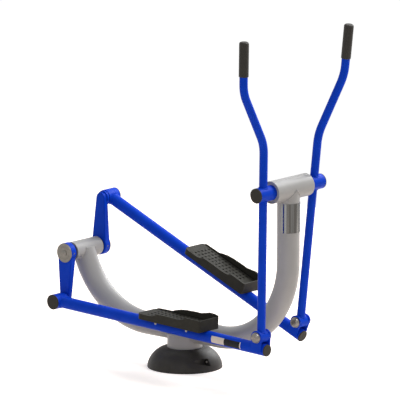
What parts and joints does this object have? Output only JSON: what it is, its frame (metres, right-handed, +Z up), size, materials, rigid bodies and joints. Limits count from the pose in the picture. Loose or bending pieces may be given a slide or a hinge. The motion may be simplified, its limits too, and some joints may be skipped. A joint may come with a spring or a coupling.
{
  "type": "outdoor air walker",
  "caption": "Outdoor striding trainer: a bent tube on a round foot carries a rear crank, swinging hand levers and foot beams with dimpled pedals.",
  "frame": {"origin": "on the ground, at the middle of the anchor circle on the foot flange's underside", "axes": "+X forwards from the crank to the hand levers, +Y to the user's left, +Z up"},
  "size_m": [1.5434, 0.7496, 1.8111],
  "materials": {
    "frame_paint": "satin powder coat",
    "lever_paint": "gloss powder coat",
    "cover_plastic": "satin moulding",
    "cap_plastic": "satin moulding",
    "pedal_plastic": "matt moulding",
    "grip_rubber": "matt",
    "seal_rubber": "matt",
    "bare_stainless": "bare",
    "screw_steel": "bare",
    "bearing_steel": "ground",
    "shaft_steel": "turned",
    "sleeve_bronze": "sintered"
  },
  "bodies": {
    "frame": {"foot_flange": "frame_paint", "foot_post": "frame_paint", "cover_half_right": "cover_plastic", "cover_half_left": "cover_plastic", "cover_screws": "screw_steel", "main_tube": "frame_paint", "head_tube": "frame_paint", "head_covers": "frame_paint", "head_axle": "shaft_steel", "head_bearings": "bearing_steel", "axle_spacers": "shaft_steel", "axle_nuts": "screw_steel", "hub_tube": "frame_paint", "hub_bearings": "bearing_steel", "hub_dust_rings": "seal_rubber", "tube_plate": "bare_stainless", "plate_screws": "screw_steel"},
    "crankset": {"crank_shaft": "shaft_steel", "crank_spacers": "shaft_steel", "crank_right": "lever_paint", "crank_left": "lever_paint", "pin_roots": "shaft_steel", "crank_discs": "bare_stainless", "crank_bolts": "screw_steel", "set_screws": "screw_steel"},
    "lever_right": {"pivot_tube_right": "lever_paint", "pivot_cap_right": "cap_plastic", "lever_tube_right": "lever_paint", "handle_right": "lever_paint", "grip_right": "grip_rubber", "fork_barrel_right": "lever_paint", "fork_bushes_right": "sleeve_bronze"},
    "beam_right": {"foot_beam_right": "lever_paint", "beam_plug_right": "cap_plastic", "fork_ears_right": "lever_paint", "fork_bolt_right": "bare_stainless", "rear_barrel_right": "lever_paint", "barrel_bearings_right": "bearing_steel", "barrel_cap_right": "cap_plastic", "crank_pin_right": "shaft_steel", "pedal_right": "pedal_plastic", "pedal_bolts_right": "screw_steel"},
    "lever_left": {"pivot_tube_left": "lever_paint", "pivot_cap_left": "cap_plastic", "lever_tube_left": "lever_paint", "handle_left": "lever_paint", "grip_left": "grip_rubber", "fork_barrel_left": "lever_paint", "fork_bushes_left": "sleeve_bronze"},
    "beam_left": {"foot_beam_left": "lever_paint", "beam_plug_left": "cap_plastic", "fork_ears_left": "lever_paint", "fork_bolt_left": "bare_stainless", "rear_barrel_left": "lever_paint", "barrel_bearings_left": "bearing_steel", "barrel_cap_left": "cap_plastic", "crank_pin_left": "shaft_steel", "pedal_left": "pedal_plastic", "pedal_bolts_left": "screw_steel"}
  },
  "joints": [
    {"name": "right_lever_swing", "type": "hinge", "parent": "frame", "child": "lever_right", "pos_m": [0.69, -0.191, 1.01], "axis": [0, 1, 0], "range_deg": [-18.5, 20.2]},
    {"name": "left_lever_swing", "type": "hinge", "parent": "frame", "child": "lever_left", "pos_m": [0.69, 0.191, 1.01], "axis": [0, 1, 0], "range_deg": [-20.3, 18.6]},
    {"name": "crank_turn", "type": "hinge", "parent": "frame", "child": "crankset", "pos_m": [-0.68052, 0, 0.50769], "axis": [0, 1, 0], "range_deg": [-49, 53]},
    {"name": "right_fork_pivot", "type": "hinge", "parent": "lever_right", "child": "beam_right", "pos_m": [0.67798, -0.191, 0.2836], "axis": [0, 1, 0], "range_deg": [-20.3, 18.6]},
    {"name": "left_fork_pivot", "type": "hinge", "parent": "lever_left", "child": "beam_left", "pos_m": [0.60421, 0.191, 0.28858], "axis": [0, 1, 0], "range_deg": [-18.6, 20.3]}
  ],
  "couplings": [
    {"joint": "left_lever_swing", "follows": "right_lever_swing", "ratio": -1},
    {"joint": "crank_turn", "follows": "right_lever_swing", "ratio": 2.6},
    {"joint": "right_fork_pivot", "follows": "right_lever_swing", "ratio": -1},
    {"joint": "left_fork_pivot", "follows": "right_lever_swing", "ratio": 1}
  ]
}
